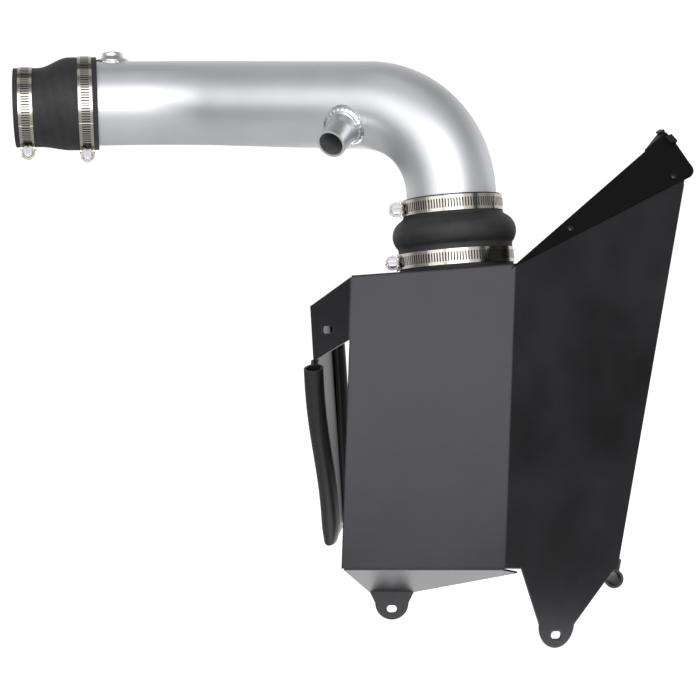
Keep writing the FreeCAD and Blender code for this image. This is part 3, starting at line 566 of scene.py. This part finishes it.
def bowed_seal(node, bow, squeeze, pinch):
    """Bows a seal by a number of millimetres, widens it by squeeze, and pinches its foot."""
    shape = node_copy(node)
    low = min(vert.co.z for vert in shape.verts)
    high = max(vert.co.z for vert in shape.verts)
    for i in range(1, seal_slices):
        cut = Vector((0, 0, low + (high - low) * i / seal_slices))
        bmesh.ops.bisect_plane(shape, geom=shape.verts[:] + shape.edges[:] + shape.faces[:],
                               plane_co=cut, plane_no=(0, 0, 1))
    foot = [vert.co for vert in shape.verts if vert.co.z < low + end_band]
    head = [vert.co for vert in shape.verts if vert.co.z > high - end_band]
    foot_centre = sum(foot, Vector()) / len(foot)
    head_centre = sum(head, Vector()) / len(head)
    for vert in shape.verts:
        rise = (vert.co.z - low) / (high - low)
        centre = foot_centre.lerp(head_centre, rise)
        squash = max(0.0, 1 - rise / pinch_share) ** 2 * pinch
        vert.co.x = centre.x + (vert.co.x - centre.x) * squeeze * (1 - pinch_narrowing * squash)
        vert.co.x += (bow * math.sin(math.tau * (1 - rise)) - pinch_shift * squash) * MM
    return piece(node + "_bowed", shape, seal_rubber, node, sharp=50)


left_seal = bowed_seal("left_bulb_seal", bow=-1.5, squeeze=1.0, pinch=1.0)
rear_seal = bowed_seal("rear_bulb_seal", bow=0.8, squeeze=1.45, pinch=0.0)
print("seals of", len(left_seal.data.polygons), "and", len(rear_seal.data.polygons), "faces")

# %% [markdown]
# ## Floor and light
# The background is plain white. The floor and the world show it to the camera, and to reflections and
# clear materials too, while matte surfaces are lit by a plain grey room and by the lamps. What a shiny
# surface sees is white behind, pale in front, and darker overhead and to the sides, as in a studio with
# a white sweep and black flags. That gives the pipe its long soft bands, and keeps the turned panels of
# the shield darker than its front.

# %% Floor
floor_mesh = bpy.data.meshes.new("floor")
shape = bmesh.new()
bmesh.ops.create_circle(shape, cap_ends=True, segments=96, radius=5.0,
                        matrix=Matrix.Translation((0.3, -0.1, frame_box[0].z)))
shape.to_mesh(floor_mesh)
shape.free()
floor = bpy.data.objects.new("floor", floor_mesh)
bpy.context.scene.collection.objects.link(floor)
print("floor at", round(frame_box[0].z / MM), "mm")


# %% [markdown]
# ## Which rays see the room
# The light path node tells what kind of ray asks for a colour. Camera, glossy and transmission rays get
# the background as it looks, and diffuse rays get the plain room. A second helper measures how far a
# coordinate is from a centre, which is all that a soft edged patch or stripe needs.

# %% Ray and distance helpers
def seen_rays(tree):
    """1 for rays that show the background as it is: camera, glossy and transmission rays."""
    rays = add(tree, "LightPath").outputs
    shiny = add(tree, "Math", {
        0: rays["Is Glossy Ray"], 1: rays["Is Transmission Ray"]}, operation="MAXIMUM")
    seen = add(tree, "Math", {0: rays["Is Camera Ray"], 1: shiny.outputs[0]}, operation="MAXIMUM")
    return rays, seen.outputs[0]


def distance_from(tree, coordinate, centre):
    offset = add(tree, "Math", {0: coordinate, 1: centre}, operation="SUBTRACT")
    return add(tree, "Math", {0: offset.outputs[0]}, operation="ABSOLUTE").outputs[0]


# %% [markdown]
# ## What the floor shows to shiny surfaces
# To shiny surfaces the floor's white paper ends 0.5 to 0.9 m out to each side, where dark flags stand. It
# glows close under the intake, which they show on the pipe's underside, and in front it is dim until
# 0.8 m, beyond which the pale front begins.

# %% Floor glow
front_grey = 1.25
under_glow = 2.3
behind_glow = 2.1
dim_glow = 0.1
floor_paint, tree = new_tree("pale_studio_floor")
rays, seen = seen_rays(tree)
spot = add(tree, "SeparateXYZ", {0: add(tree, "TexCoord").outputs["Object"]})
paper = add(tree, "MapRange", {
    "Value": distance_from(tree, spot.outputs["X"], 0.35), "From Min": 0.5, "From Max": 0.9,
    "To Min": 1.0, "To Max": 0.0})
under = add(tree, "MapRange", {
    "Value": distance_from(tree, spot.outputs["X"], 0.4), "From Min": 0.1, "From Max": 0.2,
    "To Min": under_glow, "To Max": dim_glow})
behind = add(tree, "MapRange", {
    "Value": spot.outputs["Y"], "From Min": -0.3, "From Max": -0.15,
    "To Min": dim_glow, "To Max": behind_glow})
below = add(tree, "Math", {0: behind.outputs[0], 1: under.outputs[0]}, operation="MINIMUM")
far = add(tree, "MapRange", {
    "Value": spot.outputs["Y"], "From Min": -1.2, "From Max": -0.8, "To Min": front_grey, "To Max": 0.0})
below = add(tree, "Math", {0: below.outputs[0], 1: far.outputs[0]}, operation="MAXIMUM")
print("floor glow from", dim_glow, "to", under_glow)

# %% [markdown]
# ## The floor's paint
# The floor is pale matte paper, with a glow of its own that makes it white to the camera, and it still
# keeps the object's shadow. Beyond the paper's edges, glossy rays get a dark grey in its place.

# %% Floor paint
paper_white = "#e6e6e6"
flag_black = "#3a3a3a"
camera_glow = 0.8
bare = add(tree, "Math", {0: 1.0, 1: paper.outputs[0]}, operation="SUBTRACT")
flagged = add(tree, "Math", {0: rays["Is Glossy Ray"], 1: bare.outputs[0]}, operation="MULTIPLY")
shade = add(tree, "Mix", {
    0: flagged.outputs[0], 6: linear(paper_white), 7: linear(flag_black)}, data_type="RGBA")
matte = add(tree, "BsdfDiffuse", {"Color": shade.outputs[2]})
glow = add(tree, "Math", {0: paper.outputs[0], 1: below.outputs[0]}, operation="MULTIPLY")
glow = add(tree, "Math", {0: seen, 1: glow.outputs[0]}, operation="MULTIPLY")
glow = add(tree, "Mix", {0: rays["Is Camera Ray"], 2: glow.outputs[0], 3: camera_glow})
white = add(tree, "Emission", {"Color": (1, 1, 1, 1), "Strength": glow.outputs[0]})
finish_surface(tree, add(tree, "AddShader", {0: matte.outputs[0], 1: white.outputs[0]}))
floor_mesh.materials.append(floor_paint)
print("made", floor_paint.name)

# %% [markdown]
# ## The room's walls
# The world is the room round the floor. A sweep goes from the pale front over a grey side to the white
# back, and wings dim the front towards the sides. A narrow dark stripe at the right is the edge of a
# flag, and puts a dark zone into the polished clamp bands.

# %% World walls
side_grey = 0.55
wing_level = 0.6
stripe_level = 0.12
world = bpy.data.worlds.new("studio")
bpy.context.scene.world = world
world.use_nodes = True
tree = world.node_tree
tree.nodes.clear()
rays, seen = seen_rays(tree)
direction = add(tree, "SeparateXYZ", {0: add(tree, "TexCoord").outputs["Generated"]})
forward = add(tree, "MapRange", {"Value": direction.outputs["Y"], "From Min": -1.0})
sweep = add(tree, "ValToRGB", {"Fac": forward.outputs[0]})
sweep.color_ramp.elements[0].color = (front_grey, front_grey, front_grey, 1)
sweep.color_ramp.elements.new(0.5).color = (side_grey, side_grey, side_grey, 1)
sweep.color_ramp.elements[2].color = (1, 1, 1, 1)
wings = add(tree, "MapRange", {
    "Value": distance_from(tree, direction.outputs["X"], 0.0), "From Min": 0.4, "From Max": 0.9,
    "To Min": 1.0, "To Max": wing_level})
front = add(tree, "Math", {0: sweep.outputs[0], 1: wings.outputs[0]}, operation="MULTIPLY")
stripe = add(tree, "MapRange", {
    "Value": distance_from(tree, direction.outputs["X"], 0.76), "From Min": 0.05, "From Max": 0.1,
    "To Min": stripe_level})
front = add(tree, "Math", {0: front.outputs[0], 1: stripe.outputs[0]}, operation="MULTIPLY")
print("walls from", stripe_level, "to", front_grey)

# %% [markdown]
# ## The room's ceiling, and who sees the room
# The back stays white, and the ceiling is darker than the walls, so that the top of the pipe and the
# rubber keep their tone. The camera sees plain white, shiny surfaces see this room, and matte ones are
# lit by one plain level of grey.

# %% World levels
eye_level = 1.1
ceiling_level = 0.25
room_level = 0.45
behind = add(tree, "MapRange", {"Value": direction.outputs["Y"], "From Min": -0.15, "From Max": 0.35})
room = add(tree, "Math", {0: front.outputs[0], 1: behind.outputs[0]}, operation="MAXIMUM")
high = add(tree, "MapRange", {
    "Value": direction.outputs["Z"], "From Min": 0.35, "From Max": 0.85,
    "To Min": eye_level, "To Max": ceiling_level})
room = add(tree, "Math", {0: room.outputs[0], 1: high.outputs[0]}, operation="MULTIPLY")
shown = add(tree, "Math", {0: rays["Is Camera Ray"], 1: room.outputs[0]}, operation="MAXIMUM")
level = add(tree, "Mix", {"Factor": seen, "A": room_level, "B": shown.outputs[0]})
backdrop = add(tree, "Background", {"Color": (1, 1, 1, 1), "Strength": level.outputs["Result"]})
tree.links.new(backdrop.outputs[0], add(tree, "OutputWorld").inputs["Surface"])
print("made the world", world.name)


# %% [markdown]
# ## Lamps
# Product light is large and soft. A tall strip in front draws the long highlights on the pipe, a low one
# lifts the shield's front and the pipe's lower half, a box at the left models the round forms, and weak
# boxes above and behind keep the top edges apart from the background. Each points at the intake.

# %% Lamps
def softbox(name, place, target, width, height, watts):
    """A rectangular lamp that points at a target. Places and sizes are in metres."""
    light = bpy.data.lights.new(name, "AREA")
    light.shape = "RECTANGLE"
    light.size = width
    light.size_y = height
    light.energy = watts
    lamp = bpy.data.objects.new(name, light)
    bpy.context.scene.collection.objects.link(lamp)
    lamp.location = place
    lamp.rotation_euler = (Vector(target) - Vector(place)).to_track_quat("-Z", "Y").to_euler()


middle = (0.3, -0.1, -0.15)
shield_front = (0.42, -0.15, -0.38)
softbox("overhead_softbox", (0.1, -0.7, 2.2), middle, width=1.6, height=0.8, watts=2)
softbox("front_strip", (0.35, -2.7, 0.2), middle, width=1.9, height=2.9, watts=37)
softbox("low_strip", (0.45, -1.3, -0.3), shield_front, width=0.9, height=0.3, watts=2.6)
softbox("left_softbox", (-1.3, -2.0, 0.3), middle, width=1.4, height=2.0, watts=11)
softbox("back_softbox", (0.0, 1.6, 2.0), middle, width=3.0, height=2.0, watts=5)
bpy.context.scene.view_settings.view_transform = "Standard"
print("lamps:", len(bpy.data.lights))
